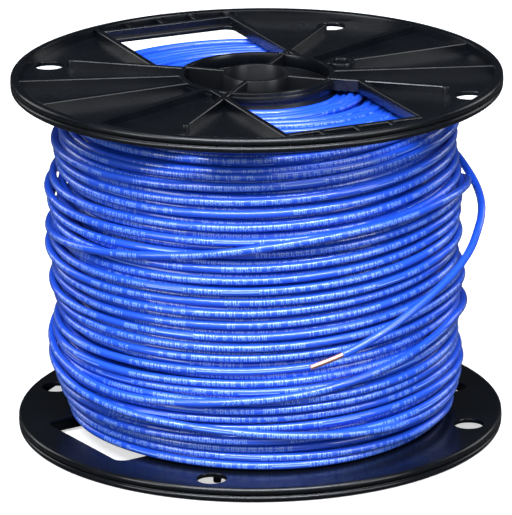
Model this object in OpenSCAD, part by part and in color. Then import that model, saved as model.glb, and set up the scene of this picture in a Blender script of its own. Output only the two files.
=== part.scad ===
// Spool of nylon-jacketed building wire on a moulded two-flange reel.
// Z is the arbor axis, Z = 0 is the face the reel stands on.

/* [Reel] */
// Outer diameter of both flanges
flange_d = 184; // [180:1:188]
// Overall height over both flange rims
reel_h = 138; // [130:1:150]
// Thickness of a flange at its rim
rim_h = 5.6; // [5:0.2:7]
// Thickness of the flange sheet that the wire lies against
sheet_t = 1.8; // [1.4:0.1:2.4]
// How far the ribs and the hub stop below the rim's edge
rib_drop = 0.8; // [0.4:0.1:1.4]
// Wall of the rim band
rim_wall = 3.2; // [2.6:0.2:4]

/* [Hub] */
// Outer diameter of the barrel that the wire is wound on
barrel_d = 58.4; // [56:0.2:60]
// Wall of the barrel
barrel_wall = 2; // [1.6:0.1:2.6]
// Outer diameter of the arbor sleeve
sleeve_d = 25.6; // [25:0.2:30]
// Bore of the arbor sleeve
arbor_d = 22.4; // [20:0.2:22.6]
// Thickness of the four webs between sleeve and barrel
web_t = 1.8; // [1.4:0.1:2.4]

/* [Ribs and openings] */
// Thickness of the flange ribs
rib_t = 2.2; // [1.6:0.1:2.8]
// Diameter of the four tie holes near the rim
tie_hole_d = 11; // [9:0.5:12]
// Diameter of the circle the tie holes lie on
tie_circle_d = 164; // [160:1:165]
// Distance from the hub's axis to the far side of a window
window_wide = 30.6; // [30.2:0.1:33]
// Distance from the hub's axis to the near side of a window
window_narrow = 24; // [22:0.1:26]
// Distance from the hub's axis to the straight outer wall of a window
window_out = 80; // [77:0.5:81]

/* [Wire] */
// Outside diameter of the jacketed wire
wire_d = 3; // [2.8:0.1:3.3]
// Diameter of the solid copper conductor
copper_d = 2.05; // [1.9:0.05:2.2]
// Largest radius of the winding, a little above its middle
wound_r = 79.5; // [77:0.5:80]
// Radius of the winding at the lower flange
wound_low_r = 74; // [70:0.5:76]
// Radius of the winding at the upper flange
wound_top_r = 75; // [70:0.5:76]

/* [Hidden] */
flange_r = flange_d / 2;
barrel_r = barrel_d / 2;
barrel_in_r = barrel_r - barrel_wall;
half_h = reel_h / 2;
upper_z = reel_h - rim_h; // inner face of the upper flange
rib_top = rim_h - rib_drop; // heights in a flange are measured from its inner face
rim_in_r = flange_r - rim_wall;
edge_r = 1.4; // rounding of the rim's outer edges
seam_out = 0.25; // how far the rim's mould parting line stands out
cut = 1; // how far a cutter runs past what it cuts
fine = 160;

// Directions are in degrees, anticlockwise seen from above the upper flange.
window_angle = 113.5; // centre line of the first window
sector_angle = 26.3; // middle rib of the first ribbed sector
rib_step = 21.5; // between neighbouring ribs of a sector
web_angle = 70; // first hub web
tie_off = 2 * rib_step; // from a sector's middle rib to its tie holes
flip_angle = 163.3; // axis about which the lower half is turned over

tie_r = tie_circle_d / 2;
tie_rib_end = tie_r - 9; // where a tie rib stops short of its hole
tie_end_r = 1.5; // rounding of a tie rib's free end
boss_at = 35.3; // distance of the starting-hole boss from the axis
boss_d = 10.6;
boss_hole_d = 6.6;
window_corner = 4;
ledge = 1.6; // sheet left showing inside a window's outer wall
ladder_n = 3; // short ribs between a window's outer wall and the rim
collar_step = 0.6; // the collar is this much wider below its lip
collar_lip = 1.4; // height of that lip
key_in = 1; // how far each web runs into the flange collar
key_play = 0.1; // play between a web and its slot in the collar
spigot_h = 7; // how far the upper hub half plugs into the lower one
spigot_wall = 1.8;
spigot_play = 0.1;
wound_gap = 1.3; // clearance between the winding and each flange
lay_gap = 0.3; // clearance between winding and barrel

// Loose end of the wire, from the winding to where its jacket is cut.
loose_route = [
    [70.6, 38, 98.4], [73.8, 31.6, 97.4], [76.6, 24.6, 96], [79.1, 17, 94.1], [81.4, 9.4, 91.9],
    [83.1, 1.6, 89.4], [83.8, -6.6, 86.8], [83.2, -14.8, 84], [81.4, -22.5, 80.8],
    [79, -29.8, 77.3], [75.6, -37, 74.2], [71.4, -44.2, 71.4], [66.6, -51, 68.8],
    [61.2, -57.4, 66], [55.2, -63.2, 63], [48.8, -68.4, 59.8], [42, -72.8, 56.8],
    [35.2, -76.4, 54], [30.6, -78.4, 52.4]
];
// The copper bared beyond it.
copper_route = [[30.6, -78.4, 52.4], [26.6, -80, 51.2], [22.6, -81.5, 50.1], [18.4, -83, 49]];
tube_sides = 8;

module ring(outer_r, inner_r, height) {
    difference() {
        cylinder(r = outer_r, h = height, $fn = fine);
        translate([0, 0, -cut]) cylinder(r = inner_r, h = height + 2 * cut, $fn = fine);
    }
}

// Points of an arc about c, for polygons.
function arc(c, r, a0, a1, n = 6) =
    [for (i = [0 : n]) c + r * [cos(a0 + (a1 - a0) * i / n), sin(a0 + (a1 - a0) * i / n)]];

// Band with rounded outer edges and a fine parting line half-way up.
module rim() {
    rotate_extrude($fn = fine)
        polygon(concat(
            [[rim_in_r, 0]],
            arc([flange_r - edge_r, edge_r], edge_r, -90, 0),
            [[flange_r, rim_h / 2 - seam_out], [flange_r + seam_out, rim_h / 2],
             [flange_r, rim_h / 2 + seam_out]],
            arc([flange_r - edge_r, rim_h - edge_r], edge_r, 0, 90),
            [[rim_in_r + 0.4, rim_h], [rim_in_r, rim_h - 0.4]]
        ));
}

// One opening through the sheet, in its own frame with +Y outwards. Its walls, the collar
// and the tie rib that bounds it stand over its edges.
module window() {
    top = window_out - ledge - rib_t / 2;
    left = rib_t / 2 - window_wide;
    right = window_narrow - rib_t / 2;
    c = window_corner;
    tie = sector_angle + 180 - tie_off - window_angle; // direction of that tie rib
    translate([0, 0, -cut]) linear_extrude(height = sheet_t + 2 * cut)
        polygon(concat(
            [[0, 0], [window_narrow, 0], [window_narrow, top - c]],
            arc([right - c, top - c], c, 0, 90),
            arc([left + c, top - c], c, 90, 180),
            [[-window_wide, top - c], [-window_wide, window_wide * cos(tie) / sin(tie)]]
        ));
}

// Walls round one window and the short ribs outside it, in the window's frame.
module window_walls() {
    step = (window_wide + window_narrow) / (ladder_n + 1);
    translate([-window_wide - rib_t / 2, window_wide * 0.85, 0])
        cube([rib_t, flange_r, rib_top]);
    translate([window_narrow - rib_t / 2, barrel_r / 2, 0]) cube([rib_t, flange_r, rib_top]);
    translate([-window_wide, window_out - rib_t / 2, 0])
        cube([window_wide + window_narrow, rib_t, rib_top]);
    for (i = [1 : ladder_n])
        translate([-window_wide + i * step - rib_t / 2, window_out, 0])
            cube([rib_t, flange_r - window_out, rib_top]);
}

// Plain ribs and tie-hole ribs of one ribbed sector, about its middle rib on +X.
module sector_ribs() {
    for (k = [-1 : 1])
        rotate([0, 0, k * rib_step]) translate([0, -rib_t / 2, 0]) cube([flange_r, rib_t, rib_top]);
    for (side = [-1, 1])
        rotate([0, 0, side * tie_off]) {
            translate([0, -rib_t / 2, 0]) cube([tie_rib_end, rib_t, rib_top]);
            translate([tie_rib_end, 0, 0]) cylinder(r = tie_end_r, h = rib_top, $fn = 24);
        }
}

// Everything that stands on the flange's sheet inside the rim.
module ribs() {
    intersection() {
        cylinder(r = rim_in_r + rim_wall / 3, h = rib_top, $fn = fine);
        for (turn = [0, 180]) {
            rotate([0, 0, turn + sector_angle]) sector_ribs();
            rotate([0, 0, turn + window_angle - 90]) window_walls();
        }
    }
}

// A flange lying on its inner face: the sheet, the ribs on it, the rim and the collar.
module flange() {
    difference() {
        union() {
            difference() {
                cylinder(r = rim_in_r + rim_wall / 2, h = sheet_t, $fn = fine);
                for (turn = [0, 180]) rotate([0, 0, turn + window_angle - 90]) window();
            }
            rim();
            ribs();
            cylinder(r = barrel_r, h = rib_top, $fn = fine);
            cylinder(r = barrel_r + collar_step, h = rib_top - collar_lip, $fn = fine);
            rotate([0, 0, sector_angle]) translate([boss_at, 0, 0])
                cylinder(d = boss_d, h = rib_top, $fn = 48);
        }
        translate([0, 0, -cut]) {
            cylinder(r = barrel_in_r, h = rim_h + 2 * cut, $fn = fine);
            rotate([0, 0, sector_angle]) translate([boss_at, 0, 0])
                cylinder(d = boss_hole_d, h = rim_h + 2 * cut, $fn = 48);
            for (turn = [0, 180], side = [-1, 1])
                rotate([0, 0, turn + sector_angle + side * tie_off]) translate([tie_r, 0, 0])
                    cylinder(d = tie_hole_d, h = rim_h + 2 * cut, $fn = 48);
            for (k = [0 : 3])
                rotate([0, 0, web_angle + 90 * k])
                    translate([barrel_in_r - cut, -web_t / 2 - key_play, 0])
                        cube([cut + key_in + key_play, web_t + 2 * key_play, rim_h + 2 * cut]);
        }
    }
}

// Sleeve and webs of half the hub, length h, with the web ends that key into a collar.
module hub_half() {
    body_h = half_h - rim_h;
    full_h = half_h - rib_drop;
    ring(barrel_r, barrel_in_r, body_h);
    ring(sleeve_d / 2, arbor_d / 2, full_h);
    difference() {
        for (k = [0 : 3])
            rotate([0, 0, web_angle + 90 * k]) {
                translate([0, -web_t / 2, 0]) cube([barrel_in_r + cut / 2, web_t, body_h]);
                translate([0, -web_t / 2, 0]) cube([barrel_in_r + key_in, web_t, full_h]);
            }
        translate([0, 0, -cut]) cylinder(r = sleeve_d / 2 - 0.2, h = full_h + 2 * cut, $fn = fine);
    }
}

// Lower half of the reel: the upper one's parts turned over.
module turned_over() {
    rotate([0, 0, 2 * flip_angle]) rotate([180, 0, 0]) children();
}

module upper_flange() {
    color([0.07, 0.08, 0.09]) translate([0, 0, upper_z]) flange();
}

module lower_flange() {
    color([0.07, 0.08, 0.09]) translate([0, 0, rim_h]) turned_over() flange();
}

module upper_hub() {
    color([0.05, 0.055, 0.06]) {
        translate([0, 0, half_h]) hub_half();
        // ring that plugs into the lower half
        translate([0, 0, half_h - spigot_h]) difference() {
            ring(barrel_in_r - spigot_play, barrel_in_r - spigot_play - spigot_wall, 2 * spigot_h);
            // notches over the lower half's webs
            for (k = [0 : 3])
                rotate([0, 0, 2 * flip_angle - web_angle + 90 * k])
                    translate([0, -web_t / 2 - key_play, -cut])
                        cube([barrel_r, web_t + 2 * key_play, spigot_h + cut]);
        }
        // bond between that ring and the barrel
        translate([0, 0, half_h]) ring(barrel_in_r + cut / 2, barrel_in_r - cut / 2, spigot_h);
    }
}

module lower_hub() {
    color([0.05, 0.055, 0.06]) translate([0, 0, half_h]) turned_over() hub_half();
}

// Outer shape of the wound wire.
module wire_winding() {
    low = rim_h + wound_gap;
    high = upper_z - wound_gap;
    color([0.16, 0.3, 0.8]) rotate_extrude($fn = fine)
        polygon([
            [barrel_r + lay_gap, low], [wound_low_r, low], [wound_low_r + 2, low + 14],
            [wound_r - 1, half_h - 8], [wound_r, half_h + 14], [wound_r - 0.8, half_h + 34],
            [wound_top_r + 1.5, high - 12], [wound_top_r, high], [barrel_r + lay_gap, high]
        ]);
}

function unit(v) = v / norm(v);
function along(route, i) =
    unit(route[min(i + 1, len(route) - 1)] - route[max(i - 1, 0)]);

// Round tube swept along a route, as one closed skin.
module tube(route, d) {
    n = len(route);
    m = tube_sides;
    points = [for (i = [0 : n - 1]) let (t = along(route, i), side = unit(cross(t, [0, 0, 1])),
                                         up = cross(side, t))
              for (k = [0 : m - 1])
                  route[i] + d / 2 * (cos(360 * k / m) * side + sin(360 * k / m) * up)];
    walls = [for (i = [0 : n - 2]) for (k = [0 : m - 1]) let (j = (k + 1) % m)
             each [[i * m + k, i * m + j, (i + 1) * m + j], [i * m + k, (i + 1) * m + j, (i + 1) * m + k]]];
    ends = [[for (k = [m - 1 : -1 : 0]) k], [for (k = [0 : m - 1]) (n - 1) * m + k]];
    polyhedron(points = points, faces = concat(walls, ends));
}

module loose_end_jacket() {
    color([0.2, 0.38, 0.88]) tube(loose_route, wire_d);
}

module bare_conductor() {
    color([0.85, 0.5, 0.36]) tube(copper_route, copper_d);
}

upper_flange();
lower_flange();
upper_hub();
lower_hub();
wire_winding();
loose_end_jacket();
bare_conductor();
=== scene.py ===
# Spool of building wire: blue nylon-jacketed wire on a black moulded reel.
import math

import bmesh
import bpy
import numpy as np
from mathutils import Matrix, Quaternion, Vector


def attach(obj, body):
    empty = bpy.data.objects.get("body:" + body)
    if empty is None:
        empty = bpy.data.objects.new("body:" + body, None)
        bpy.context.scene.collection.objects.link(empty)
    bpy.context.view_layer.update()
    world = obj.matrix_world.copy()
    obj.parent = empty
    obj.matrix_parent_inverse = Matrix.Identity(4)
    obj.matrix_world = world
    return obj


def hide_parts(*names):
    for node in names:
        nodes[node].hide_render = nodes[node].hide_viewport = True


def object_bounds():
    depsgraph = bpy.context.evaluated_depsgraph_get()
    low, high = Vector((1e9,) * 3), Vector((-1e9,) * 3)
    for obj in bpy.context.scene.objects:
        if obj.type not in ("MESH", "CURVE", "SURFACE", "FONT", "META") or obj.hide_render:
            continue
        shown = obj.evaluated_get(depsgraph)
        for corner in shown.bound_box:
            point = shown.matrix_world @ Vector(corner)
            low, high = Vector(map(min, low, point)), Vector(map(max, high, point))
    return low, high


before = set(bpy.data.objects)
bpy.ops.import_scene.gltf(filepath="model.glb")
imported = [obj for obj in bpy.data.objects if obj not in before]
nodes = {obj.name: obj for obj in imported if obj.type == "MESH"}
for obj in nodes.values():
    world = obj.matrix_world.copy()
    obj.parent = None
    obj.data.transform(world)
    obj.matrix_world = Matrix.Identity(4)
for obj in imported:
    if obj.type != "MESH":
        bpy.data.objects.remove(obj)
cadLow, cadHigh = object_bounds()
mm = 0.001
wireRadius = 1.5 * mm


# camera, floor and lights

def aimAt(thing, spot, roll=0.0):
    turn = (thing.location - Vector(spot)).to_track_quat("Z", "Y")
    thing.rotation_mode = "QUATERNION"
    thing.rotation_quaternion = turn @ Quaternion((0, 0, 1), math.radians(roll))


def addCamera():
    view = {"lens": 339.9, "distance": 1.836, "elevation": 17.6, "roll": -0.6,
            "aim": (-0.0010, -0.0013, 0.0650)}
    camera = bpy.data.objects.new("camera", bpy.data.cameras.new("camera"))
    bpy.context.collection.objects.link(camera)
    camera.data.lens = view["lens"]
    camera.data.clip_start, camera.data.clip_end = 0.05, 50
    rise = math.radians(view["elevation"])
    camera.location = (Vector((0, 0, cadHigh.z / 2))
                       + view["distance"] * Vector((0, -math.cos(rise), math.sin(rise))))
    aimAt(camera, view["aim"], view["roll"])
    bpy.context.scene.camera = camera


def addLight(name, spot, aim, size, power, colour):
    lamp = bpy.data.objects.new(name, bpy.data.lights.new(name, "AREA"))
    bpy.context.collection.objects.link(lamp)
    lamp.data.shape = "RECTANGLE"
    lamp.data.size, lamp.data.size_y = size
    lamp.data.energy = power
    lamp.data.color = linear(colour)[:3]
    lamp.location = spot
    aimAt(lamp, aim)


# hex colour, sRGB, turned linear
def linear(code):
    parts = [int(code[i:i + 2], 16) / 255 for i in (0, 2, 4)]
    return [c / 12.92 if c <= 0.04045 else ((c + 0.055) / 1.055) ** 2.4 for c in parts] + [1]


# adds a node with its settings, and wires named inputs to sockets or gives them values
def addNode(tree, kind, inputs=None, **settings):
    node = tree.nodes.new(kind)
    for name, value in settings.items():
        setattr(node, name, value)
    for name, value in (inputs or {}).items():
        socket = node.inputs[name]
        if isinstance(value, bpy.types.NodeSocket):
            tree.links.new(value, socket)
        else:
            socket.default_value = value
    return node


def newMaterial(name):
    material = bpy.data.materials.new(name)
    material.use_nodes = True
    tree = material.node_tree
    return material, tree, tree.nodes["Principled BSDF"]


def calculate(tree, operation, a, b=0.0, c=0.0):
    return addNode(tree, "ShaderNodeMath", {0: a, 1: b, 2: c}, operation=operation).outputs[0]


# bump on the whole surface, 0.02 mm deep
def roughen(tree, shader, pattern, strength):
    bump = addNode(tree, "ShaderNodeBump", {"Height": pattern.outputs[0], "Strength": strength,
                                            "Distance": 0.02 * mm})
    tree.links.new(bump.outputs[0], shader.inputs["Normal"])


def addFloor(name, depth, colour, glow):
    reach = 4.5  # from the middle to each edge
    sheet = bmesh.new()
    bmesh.ops.create_grid(sheet, x_segments=2, y_segments=2, size=reach)
    bmesh.ops.translate(sheet, verts=sheet.verts, vec=(0, 0, -depth))
    mesh = bpy.data.meshes.new(name)
    sheet.to_mesh(mesh)
    sheet.free()
    floor = bpy.data.objects.new(name, mesh)
    bpy.context.collection.objects.link(floor)
    paper, tree, shader = newMaterial(name + "Paper")
    shader.inputs["Base Color"].default_value = linear(colour)
    shader.inputs["Roughness"].default_value = 0.9
    shader.inputs["Specular IOR Level"].default_value = 0.1
    shader.inputs["Emission Color"].default_value = linear("ffffff")
    shader.inputs["Emission Strength"].default_value = glow
    mesh.materials.append(paper)
    return floor


# soft boxes all round; the long thin strip gives each turn of wire its bright line
lights = {  # place, what it points at, size, watts, colour
    "overhead": ((0.0, -0.35, 1.9), (0, 0, 0), (2.2, 1.1), 26, "f0f5ff"),
    "stripAbove": ((0.0, -1.2, 1.6), (0, 0, 0), (2.4, 0.3), 80, "f0f5ff"),
    "frontBox": ((-0.2, -2.0, 1.15), (0, 0, 0.07), (2.6, 1.6), 17, "ffffff"),
    "leftBox": ((-1.7, -1.2, 0.8), (0, 0, 0.07), (0.9, 1.2), 16, "ffffff"),
    "rightBox": ((1.7, -1.2, 0.8), (0, 0, 0.07), (0.9, 1.2), 14, "ffffff"),
    "backLeft": ((-1.7, 1.3, 0.9), (0, 0, 0.07), (0.8, 1.2), 6, "ffffff"),
    "backRight": ((1.7, 1.3, 0.9), (0, 0, 0.07), (0.8, 1.2), 6, "ffffff"),
}
room = {"walls": "e6ecf2", "strength": 0.03, "sheet": "d8d8d8", "glow": 0.62, "bounce": "808080"}


def addStudio():
    # a white sheet that is seen, and a greyer one that the object is lit and mirrored by
    seen = addFloor("paleFloor", 0.2 * mm, room["sheet"], room["glow"])
    seen.visible_diffuse = seen.visible_glossy = False
    bounce = addFloor("bounceFloor", 0.4 * mm, room["bounce"], 0.0)
    bounce.visible_camera = False

    for name, setting in lights.items():
        addLight(name, *setting)
    world = bpy.data.worlds.new("room")
    bpy.context.scene.world = world
    world.use_nodes = True
    background = world.node_tree.nodes["Background"]
    background.inputs["Color"].default_value = linear(room["walls"])
    background.inputs["Strength"].default_value = room["strength"]
    bpy.context.scene.view_settings.view_transform = "Standard"


addCamera()
addStudio()
print("camera, floor and lights are set")


# the wire, as centre lines

# curve swept round, then a mesh whose UV runs in centimetres along the wire
def tubeAlong(name, points, radius, sides):
    points = np.asarray(points, float)
    curve = bpy.data.curves.new(name, "CURVE")
    curve.dimensions = "3D"
    curve.twist_mode = "Z_UP"
    curve.bevel_depth = radius
    curve.bevel_resolution = sides // 2 - 2
    curve.use_fill_caps = True
    line = curve.splines.new("POLY")
    line.points.add(len(points) - 1)
    line.points.foreach_set("co", np.c_[points, np.ones(len(points))].ravel())
    holder = bpy.data.objects.new(name, curve)
    bpy.context.collection.objects.link(holder)
    bpy.context.view_layer.update()
    mesh = bpy.data.meshes.new_from_object(
        holder.evaluated_get(bpy.context.evaluated_depsgraph_get()))
    bpy.data.objects.remove(holder)
    mesh.name = name
    length = np.linalg.norm(np.diff(points, axis=0), axis=1).sum()
    uv = np.zeros(2 * len(mesh.loops), np.float32)
    mesh.uv_layers[0].data.foreach_get("uv", uv)
    uv[0::2] *= length * 100
    mesh.uv_layers[0].data.foreach_set("uv", uv)
    piece = bpy.data.objects.new(name, mesh)
    bpy.context.collection.objects.link(piece)
    return piece, length


# smooth curve through a few points, evenly stepped
def smoothLine(points, step):
    points = np.asarray(points, float)
    ends = np.vstack([2 * points[0] - points[1], points, 2 * points[-1] - points[-2]])
    out = []
    for i in range(1, len(ends) - 2):
        p0, p1, p2, p3 = ends[i - 1:i + 3]
        for t in np.linspace(0, 1, 12, endpoint=False):  # Catmull-Rom spline
            out.append(0.5 * (2 * p1 + (p2 - p0) * t + (2 * p0 - 5 * p1 + 4 * p2 - p3) * t * t
                              + (3 * p1 - p0 - 3 * p2 + p3) * t ** 3))
    out = np.array(out + [points[-1]])
    run = np.r_[0, np.cumsum(np.linalg.norm(np.diff(out, axis=0), axis=1))]
    at = np.linspace(0, run[-1], max(8, int(round(run[-1] / step))))
    return np.stack([np.interp(at, run, out[:, k]) for k in range(3)], axis=1)


# loose end of the wire: stiff enough to stand off the winding by itself
looseEnd = {
    "jacketRoute": [(70.6, 38, 98.4), (73.8, 31.6, 97.4), (76.6, 24.6, 96), (79.1, 17, 94.1),
                    (81.4, 9.4, 91.9), (83.1, 1.6, 89.4), (83.8, -6.6, 86.8), (83.2, -14.8, 84),
                    (81.4, -22.5, 80.8), (79, -29.8, 77.3), (75.6, -37, 74.2), (71.4, -44.2, 71.4),
                    (66.6, -51, 68.8), (61.2, -57.4, 66), (55.2, -63.2, 63), (48.8, -68.4, 59.8),
                    (42, -72.8, 56.8), (35.2, -76.4, 54), (30.6, -78.4, 52.4)],
    "copperRoute": [(30.6, -78.4, 52.4), (26.6, -80, 51.2), (22.6, -81.5, 50.1), (18.4, -83, 49)],
    "insulationRadius": 1.36 * mm,
    "insulationShows": 0.6 * mm,  # how far it stands out of the jacket
    "insulationInside": 2 * mm,
    "copperRadius": 1.025 * mm,
    "sides": 16,
}


def makeLooseEnd():
    sides = looseEnd["sides"]
    route = smoothLine(np.array(looseEnd["jacketRoute"]) * mm, 1.2 * mm)
    jacket, length = tubeAlong("looseEndJacket", route, wireRadius, sides)
    core = smoothLine(np.array(looseEnd["copperRoute"]) * mm, 0.8 * mm)
    ahead = (core[1] - core[0]) / np.linalg.norm(core[1] - core[0])
    inside = core[0] - looseEnd["insulationInside"] * ahead
    outside = core[0] + looseEnd["insulationShows"] * ahead
    sleeve, _ = tubeAlong("looseEndInsulation", [inside, outside], looseEnd["insulationRadius"], sides)
    copper, bare = tubeAlong("looseEndCopper", core, looseEnd["copperRadius"], sides)
    print("loose end: jacket %.1f mm, copper %.1f mm" % (length / mm, bare / mm))
    return jacket, sleeve, copper, length


jacketEnd, insulationEnd, copperEnd, jacketLength = makeLooseEnd()
for piece in (jacketEnd, insulationEnd, copperEnd):
    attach(piece, "root")
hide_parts("loose_end_jacket")
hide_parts("bare_conductor")

# the winding: each turn is laid on the ones under it. Heights and radii are in mm here,
# and the wire runs clockwise seen from above, so a step along it is a step back in angle
winding = {
    "seed": 11,
    "steps": 120,  # points in one turn
    "firstRadius": 30.75,
    "pressed": 0.968,  # how close turns get under the pull of winding
    "low": 7.6, "high": 130.3,  # wire centres at the two flanges
    "layers": 18, "outerLayers": 3,
    "innerPitch": 4.98, "outerPitch": 4.3,
    "pitchSpread": (0.985, 1.015),
    "dwell": 0.6,  # turns over which the guide slows down at a flange
    "climb": 0.17,  # turns taken to come up onto the layer below
    "paceWander": 0.25, "innerWander": 0.22, "outerWander": 0.5,
    "footCloser": 0.25,  # outer turns lie closer together towards the lower flange
    "shortTop": 119.0, "shortLow": 18.0,  # where the last two layers turn back early
    "tilt": [(0, 4.6), (60, 3.2), (120, 1.8), (180, 0.8), (205, 0), (270, 0.3), (300, 1.7),
             (335, 4.4), (360, 4.6)],  # angle, how far outer turns rise there
    "sidesSeen": 12, "sidesHidden": 8,  # corners of the wire's section
}
loose = {  # how far turns stand off at each side of the reel, by height
    "left": [(24, 0), (34, 0.6), (48, 0.3), (58, 3.6), (70, 4.6), (77, 3.0), (81, 3.0),
             (86, 4.4), (93, 3.6), (101, 1.6), (113, 1.0), (125, 0)],
    "right": [(48, 0), (54, 1.0), (60, 2.8), (66, 1.6), (74, 1.0), (84, 1.6), (100, 0.6),
              (110, 0)],
    "leftWidth": 31.0, "rightWidth": 25.0, "liftWidth": 24.0,  # degrees
    "leftAngle": 181, "liftAngle": 166,
    "lift": 0.7,  # of how far a turn stands off
    "spread": (0.7, 1.1),
    "shares": (0.5, 1.0),  # the last layer but one, the last
}
rider = [  # the last loops, which lie over the rest: angle counted down along the wire, height
    (701, 49.7), (680, 44.9), (661, 40.4), (640, 35.9), (627, 34.8), (612, 32.9), (588, 30.8),
    (562, 33), (545, 35), (520, 39.5), (480, 49), (440, 62), (410, 74.5), (385, 86),
    (360, 95), (335, 98.1), (318, 97.6), (297, 96.5), (273, 93.3), (256, 89.4), (240, 86.7),
    (217, 83.1), (190, 79.8), (160, 79.2), (125, 82.5), (90, 89.5), (60, 95.6), (42, 98),
    (28, 98.4)]


def smoothed(values, width):
    reach = int(4 * width)
    weights = np.exp(-0.5 * (np.arange(-reach, reach + 1) / width) ** 2)
    padded = np.concatenate([np.full(reach, values[0]), values, np.full(reach, values[-1])])
    return np.convolve(padded, weights / weights.sum(), "valid")


def highest(values, reach):
    padded = np.pad(values, reach, mode="edge")
    return np.max([padded[i:i + len(values)] for i in range(2 * reach + 1)], axis=0)


# radius at each point of a run of wire so that it rests on all the wire under it
def restingRadius(stack, start, heights):
    steps, across = winding["steps"], winding["pressed"] * 2 * wireRadius / mm
    radius = np.zeros(len(heights))
    for first in range(0, len(heights), steps):
        part = heights[first:first + steps]
        slots = (start + first + np.arange(len(part))) % steps
        held = np.full(len(part), winding["firstRadius"])
        if stack:
            under = np.stack([s[0] for s in stack], 1)[slots]
            level = np.stack([s[1] for s in stack], 1)[slots]
            off = np.abs(level - part[:, None])
            rise = np.sqrt(np.maximum(across ** 2 - off ** 2, 0))
            held = np.maximum(held, np.where(off < across, under + rise, 0).max(1))
        radius[first:first + len(part)] = held
    return radius


def addToStack(stack, start, heights, radius):
    steps = winding["steps"]
    for first in range(0, len(heights), steps):
        part = slice(first, first + steps)
        slots = (start + first + np.arange(len(heights[part]))) % steps
        row = (np.full(steps, -1e3), np.full(steps, 1e4))
        row[0][slots], row[1][slots] = radius[part], heights[part]
        stack.append(row)


# slow wander of a wire that is guided by hand or by a worn guide
def wander(count, rng, size, reach):
    knots = rng.uniform(-1, 1, int(count / reach) + 4)
    return size * np.interp(np.arange(count) / reach, np.arange(len(knots)), smoothed(knots, 0.6))


def keptApart(heights, rising):
    steps, least = winding["steps"], 2.04 * wireRadius / mm
    out = heights.copy()
    for first in range(steps, len(out), steps):
        part = out[first:first + steps]
        before = out[first - steps:first][:len(part)]
        out[first:first + steps] = (np.maximum(part, before + least) if rising
                                    else np.minimum(part, before - least))
    return out


def tiltAt(slots):
    angles = (-slots * 360 / winding["steps"]) % 360
    known = np.array(winding["tilt"])
    fine = np.interp(np.arange(360), known[:, 0], known[:, 1])
    fine = smoothed(np.concatenate([fine, fine, fine]), 9)[360:720]
    return np.interp(angles, np.arange(361), np.append(fine, fine[0]))


# heights of one layer's centre line, as the guide carries it from flange to flange
def guideHeights(layer, start, begin, rng):
    steps, low, high = winding["steps"], winding["low"], winding["high"]
    last = winding["layers"] - 1
    outer = layer > last - winding["outerLayers"]
    rising = layer % 2 == 0
    end = high if rising else low
    if layer == last - 1:
        end = winding["shortTop"]
    if layer == last:
        end = winding["shortLow"]
    pitch = winding["outerPitch" if outer else "innerPitch"] * rng.uniform(*winding["pitchSpread"])
    count = int(steps * (abs(end - begin) / pitch + 0.3)) + int(rng.integers(0, steps // 2))
    fromEnds = np.minimum(np.arange(count), np.arange(count)[::-1])
    pace = np.minimum(1, fromEnds / (steps * winding["dwell"]))
    share = np.cumsum(pace * (1 + wander(count, rng, winding["paceWander"], steps * 1.3)))
    heights = begin + (end - begin) * share / share[-1]
    if outer:
        part = np.clip((heights - low) / (high - low), 0, 1)
        closer = winding["footCloser"]
        heights = low + (high - low) * (part * (1 - closer) + closer * part ** 1.6)
    edge = np.clip(np.minimum(heights - low, high - heights) / 6, 0, 1)
    size, reach = ("outerWander", 0.55) if outer else ("innerWander", 0.8)
    heights = heights + edge * wander(count, rng, winding[size], steps * reach)
    # the tilt grows from layer to layer, and flanges keep it down
    upright = np.clip((heights - low) / 34, 0, 1) * np.clip((high - heights) / 12, 0, 1)
    heights += upright * tiltAt(start + np.arange(count)) * np.clip((layer - 6) / 8, 0, 1)
    if outer:
        heights = keptApart(heights, rising)
    return np.clip(heights, low, high)


# the layers in turn, each a run of wire that starts where the one before it stopped
def windLayers(rng):
    steps = winding["steps"]
    stack, runs, start = [], [], 0
    begin, radiusNow = winding["low"], winding["firstRadius"]
    for layer in range(winding["layers"]):
        heights = guideHeights(layer, start, begin, rng)
        radius = smoothed(highest(restingRadius(stack, start, heights), 1), 2.4)
        blend = np.clip(np.arange(len(heights)) / (steps * winding["climb"]), 0, 1)
        blend = blend * blend * (3 - 2 * blend)
        radius = radiusNow + (radius - radiusNow) * blend
        addToStack(stack, start, heights, radius)
        runs.append([start, heights, radius])
        start, begin, radiusNow = start + len(heights) - 1, heights[-1], radius[-1]
    return runs


def standsOff(levels, height):
    known = np.array(levels)
    return np.interp(height, known[:, 0], known[:, 1])


# loops near the two sides that have sprung away from the winding; a turn is counted from the
# back of the reel, where it lies tight
def loosen(runs, rng):
    steps = winding["steps"]
    back = steps * 3 // 4
    for share, (start, heights, radius) in zip(loose["shares"], runs[-2:]):
        numbers = start + np.arange(len(heights))
        turns = (numbers - back) // steps
        angles = (-numbers * 360 / steps) % 360
        left = np.exp(-((angles - loose["leftAngle"]) / loose["leftWidth"]) ** 2)
        lift = np.exp(-((angles - loose["liftAngle"]) / loose["liftWidth"]) ** 2)
        right = np.exp(-(np.minimum(angles, 360 - angles) / loose["rightWidth"]) ** 2)
        for turn in np.unique(turns):
            here = np.nonzero(turns == turn)[0]
            if left[here].max() > 0.9:
                out = standsOff(loose["left"], heights[here[np.argmax(left[here])]])
                out *= share * rng.uniform(*loose["spread"])
                radius[here] += out * left[here]
                heights[here] += loose["lift"] * out * lift[here]
            if right[here].max() > 0.9:
                out = standsOff(loose["right"], heights[here[np.argmax(right[here])]])
                radius[here] += out * share * rng.uniform(*loose["spread"]) * right[here]


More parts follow.
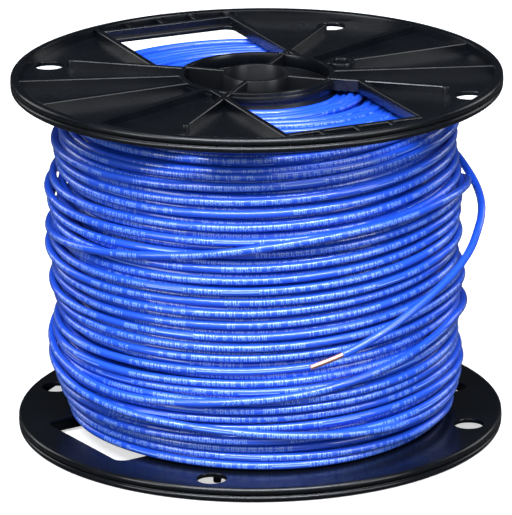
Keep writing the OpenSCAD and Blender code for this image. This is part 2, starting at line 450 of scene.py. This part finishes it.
# the last loops, from where the run before them stopped to where the loose end leaves
def windRider(before, under):
    steps = winding["steps"]
    beforeStart, beforeHeights, beforeRadius = before
    stopped = -(beforeStart + len(beforeHeights) - 1) * 360 / steps
    leastRise = 100  # degrees to climb from there to the first listed point
    stopped += 360 * math.ceil((rider[0][0] + leastRise - stopped) / 360)
    known = np.array([(stopped, beforeHeights[-1])] + rider, float)
    first, lastStep = [int(round(-angle * steps / 360)) for angle in known[[0, -1], 0]]
    at = -np.arange(first, lastStep + 1) * 360 / steps
    since = np.arange(len(at))
    heights = smoothed(np.interp(-at, -known[:, 0], known[:, 1]), 2.0)
    heights += (beforeHeights[-1] - heights[0]) * np.exp(-since / 8)
    radius = smoothed(highest(restingRadius(under, first, heights), 3), 4.0)
    radius += (beforeRadius[-1] - radius[0]) * np.exp(-since / 5)
    # the last points swing over to where the loose end starts
    x, y, z = looseEnd["jacketRoute"][0]
    sway = np.clip(1 - since[::-1] / 14, 0, 1) ** 2
    radius += sway * (np.hypot(x, y) - radius[-1])
    heights += sway * (z - heights[-1])
    return [first, heights, radius]


def asPoints(start, heights, radius):
    turn = -(start + np.arange(len(heights))) * 2 * np.pi / winding["steps"]
    return np.stack([radius * np.cos(turn), radius * np.sin(turn), heights], axis=1) * mm


def makeWinding():
    rng = np.random.default_rng(winding["seed"])
    runs = windLayers(rng)
    loosen(runs, rng)
    under = []
    for run in runs[-4:]:
        addToStack(under, *run)
    runs.append(windRider(runs[-1], under))
    lines = [asPoints(*run) for run in runs]
    lines[-1][-1] = np.array(looseEnd["jacketRoute"][0]) * mm
    total, pieces = 0, []
    for number, line in enumerate(lines, 1):
        sides = winding["sidesSeen" if number > len(lines) - 4 else "sidesHidden"]
        # points in turned order, so that the same side of the UV faces out all the way
        piece, length = tubeAlong("windingLayer%02d" % number, line[::-1], wireRadius, sides)
        total += length
        pieces.append(piece)
    print("winding: %d pieces, %.1f m of wire, outer radius %.1f to %.1f mm" % (
        len(pieces), total, runs[-2][2].min(), runs[-1][2].max()))
    return pieces


layers = makeWinding()
for layer in layers:
    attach(layer, "root")
    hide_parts("wire_winding")


# the reel's mouldings, from their nodes: sharp edges get the small radius a mould leaves

moulding = {
    "merge": 0.01 * mm,
    "flat": 0.6,  # degrees; faces bent less than this are one
    "roundBend": (1, 12),  # bends between the facets of a turned face
    "edgeAngle": 28, "edgeRadius": 0.4 * mm,
}


def bend(edge):
    return math.degrees(edge.calc_face_angle(0))


def eased(node, name):
    shape = bmesh.new()
    shape.from_mesh(nodes[node].data)
    bmesh.ops.remove_doubles(shape, verts=shape.verts, dist=moulding["merge"])
    bmesh.ops.dissolve_degenerate(shape, edges=shape.edges, dist=moulding["merge"])
    bmesh.ops.dissolve_limit(shape, angle_limit=math.radians(moulding["flat"]), verts=shape.verts,
                             edges=shape.edges)
    # turned faces are shaded round, flats stay flat
    least, most = moulding["roundBend"]
    for face in shape.faces:
        turned = any(least < bend(edge) < most for edge in face.edges)
        face.smooth = turned and abs(face.normal.z) < 0.999
    outside = [e for e in shape.edges if e.is_convex and bend(e) > moulding["edgeAngle"]]
    bmesh.ops.bevel(shape, geom=outside, offset=moulding["edgeRadius"], offset_type="OFFSET",
                    affect="EDGES", segments=2, profile=0.5, material=-1, clamp_overlap=False)
    mesh = bpy.data.meshes.new(name)
    shape.to_mesh(mesh)
    shape.free()
    piece = bpy.data.objects.new(name, mesh)
    bpy.context.collection.objects.link(piece)
    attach(piece, "root")
    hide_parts(node)
    print("%s: %d faces" % (name, len(mesh.polygons)))
    return piece


upperFlange = eased("upper_flange", "upperFlange")
lowerFlange = eased("lower_flange", "lowerFlange")
upperHub = eased("upper_hub", "upperHub")
lowerHub = eased("lower_hub", "lowerHub")


# materials

# PVC with a thin clear nylon skin, extruded: deep blue under a hard wet gloss, and rows of pale
# printed marks along one side
jacketFinish = {
    "blue": "1a55de", "deep": "164ed4", "print": "93bcf8", "ink": 0.64,
    "around": 2 * math.pi * 1.5,  # mm round the wire
    "facesOut": 5 / 12,  # where V faces out from the reel
    "cell": 1.85,  # mm of wire for one group of ticks
    # rows of upright ticks of differing height: place and half width in the cell, half height
    # and rise in mm, then which draw decides, the test and its limit
    "ticks": [(0.15, 0.09, 1.0, 0.0, 0, "GREATER_THAN", 0.25),
              (0.48, 0.1, 0.45, 0.55, 1, "GREATER_THAN", 0.35),
              (0.48, 0.1, 0.4, -0.6, 2, "GREATER_THAN", 0.3),
              (0.8, 0.09, 1.0, 0.0, 1, "LESS_THAN", 0.45),
              (0.8, 0.09, 0.35, -0.1, 0, "LESS_THAN", 0.5)],
}


def nylonJacket():
    look = jacketFinish
    material, tree, shader = newMaterial("nylonJacket")
    uv = addNode(tree, "ShaderNodeUVMap", uv_map="UVMap").outputs[0]
    split = addNode(tree, "ShaderNodeSeparateXYZ", {0: uv})
    along, turn = split.outputs[0], split.outputs[1]  # cm, turns
    # the printed line wanders a little round the wire
    drift = addNode(tree, "ShaderNodeTexNoise", {"W": calculate(tree, "MULTIPLY", along, 0.05),
                                                 "Scale": 1.0, "Detail": 1.0},
                    noise_dimensions="1D").outputs[0]
    centre = addNode(tree, "ShaderNodeMapRange", {0: drift, 1: 0.25, 2: 0.75,
                                                  3: look["facesOut"] - 0.06,
                                                  4: look["facesOut"] + 0.02}).outputs[0]
    across = calculate(tree, "MULTIPLY", calculate(tree, "SUBTRACT", turn, centre), look["around"])
    cells = calculate(tree, "MULTIPLY", along, 10 / look["cell"])
    index = calculate(tree, "FLOOR", cells)
    place = calculate(tree, "SUBTRACT", cells, index)
    chance = addNode(tree, "ShaderNodeTexWhiteNoise", {"W": index}, noise_dimensions="1D")
    draws = addNode(tree, "ShaderNodeSeparateColor", {0: chance.outputs["Color"]}).outputs
    row = calculate(tree, "FLOOR", calculate(tree, "MULTIPLY", index, 0.13))
    gap = addNode(tree, "ShaderNodeTexWhiteNoise", {"W": row}, noise_dimensions="1D").outputs["Value"]

    marks = 0.0
    for at, half, high, rise, draw, test, limit in look["ticks"]:
        side = calculate(tree, "COMPARE", place, at, half)
        tall = calculate(tree, "COMPARE", across, rise, high)
        tick = calculate(tree, "MULTIPLY", side, tall)
        shown = calculate(tree, "MULTIPLY", tick, calculate(tree, test, draws[draw], limit))
        marks = calculate(tree, "MAXIMUM", marks, shown)
    # some ticks are missing, and some rows are blank or a plain rule
    present = calculate(tree, "GREATER_THAN", chance.outputs["Value"], 0.14)
    marks = calculate(tree, "MULTIPLY", marks, present)
    rows = calculate(tree, "MULTIPLY", marks, calculate(tree, "GREATER_THAN", gap, 0.2))
    line = calculate(tree, "COMPARE", across, 0.0, 0.2)
    rule = calculate(tree, "MULTIPLY", line, calculate(tree, "COMPARE", gap, 0.12, 0.04))
    ink = calculate(tree, "MULTIPLY", calculate(tree, "MAXIMUM", rows, rule), look["ink"])
    tone = addNode(tree, "ShaderNodeTexNoise", {"Vector": uv, "Scale": 0.12, "Detail": 2.0})
    blue = addNode(tree, "ShaderNodeMix", {0: tone.outputs[0], 6: linear(look["blue"]),
                                           7: linear(look["deep"])}, data_type="RGBA")
    colour = addNode(tree, "ShaderNodeMix", {0: ink, 6: blue.outputs[2], 7: linear(look["print"])},
                     data_type="RGBA")
    tree.links.new(colour.outputs[2], shader.inputs["Base Color"])
    shader.inputs["Roughness"].default_value = 0.42
    shader.inputs["IOR"].default_value = 1.5
    shader.inputs["Coat Weight"].default_value = 1.0
    shader.inputs["Coat Roughness"].default_value = 0.03
    shader.inputs["Coat IOR"].default_value = 1.53
    # faint ripple of the skin, about 2 mm long
    stretched = addNode(tree, "ShaderNodeCombineXYZ", {0: calculate(tree, "MULTIPLY", along, 4.0),
                                                       1: calculate(tree, "MULTIPLY", turn, 6.0)})
    ripple = addNode(tree, "ShaderNodeTexNoise", {"Vector": stretched.outputs[0],
                                                  "Scale": 1.0, "Detail": 2.0})
    roughen(tree, shader, ripple, 0.08)
    return material


# high-impact polystyrene, injection moulded: black, satin, a little uneven where it cooled
def mouldedStyrene(name, colour, rough):
    material, tree, shader = newMaterial(name)
    spot = addNode(tree, "ShaderNodeTexCoord").outputs["Object"]
    cloud = addNode(tree, "ShaderNodeTexNoise", {"Vector": spot, "Scale": 60.0, "Detail": 3.0})
    tone = addNode(tree, "ShaderNodeMix", {0: cloud.outputs[0], 6: linear(colour),
                                           7: linear("0a0d12")}, data_type="RGBA")
    tree.links.new(tone.outputs[2], shader.inputs["Base Color"])
    gloss = addNode(tree, "ShaderNodeMapRange", {0: cloud.outputs[0], 1: 0.3, 2: 0.7,
                                                 3: rough - 0.05, 4: rough + 0.06})
    tree.links.new(gloss.outputs[0], shader.inputs["Roughness"])
    shader.inputs["IOR"].default_value = 1.55
    shader.inputs["Specular IOR Level"].default_value = 0.42
    grain = addNode(tree, "ShaderNodeTexNoise", {"Vector": spot, "Scale": 1400.0, "Detail": 2.0})
    roughen(tree, shader, grain, 0.12)
    return material


# drawn copper, freshly bared: pink-orange, fine lines along the draw
def drawnCopper():
    material, tree, shader = newMaterial("drawnCopper")
    uv = addNode(tree, "ShaderNodeUVMap", uv_map="UVMap").outputs[0]
    lines = addNode(tree, "ShaderNodeTexNoise", {
        "Vector": addNode(tree, "ShaderNodeMapping", {"Vector": uv, "Scale": (1.5, 22, 1)}).outputs[0],
        "Scale": 1.0, "Detail": 3.0})
    tone = addNode(tree, "ShaderNodeMix", {0: lines.outputs[0], 6: linear("ffd0bd"),
                                           7: linear("f4ae95")}, data_type="RGBA")
    tree.links.new(tone.outputs[2], shader.inputs["Base Color"])
    shader.inputs["Metallic"].default_value = 1.0
    shader.inputs["Roughness"].default_value = 0.4
    roughen(tree, shader, lines, 0.3)
    return material


# PVC insulation where the knife went through it: the same blue, matt
def cutInsulation():
    material, tree, shader = newMaterial("cutInsulation")
    spot = addNode(tree, "ShaderNodeTexCoord").outputs["Object"]
    nicks = addNode(tree, "ShaderNodeTexNoise", {"Vector": spot, "Scale": 2500.0, "Detail": 2.0})
    tone = addNode(tree, "ShaderNodeMix", {0: nicks.outputs[0], 6: linear("2a55d8"),
                                           7: linear("4c78ea")}, data_type="RGBA")
    tree.links.new(tone.outputs[2], shader.inputs["Base Color"])
    shader.inputs["Roughness"].default_value = 0.6
    return material


def dress(pieces, material):
    for piece in pieces:
        piece.data.materials.clear()
        piece.data.materials.append(material)


dress(layers + [jacketEnd], nylonJacket())
dress([insulationEnd], cutInsulation())
dress([copperEnd], drawnCopper())
dress([upperFlange, lowerFlange], mouldedStyrene("mouldedStyrene", "06080b", 0.25))
dress([upperHub, lowerHub], mouldedStyrene("hubStyrene", "060708", 0.36))
print("materials are on")
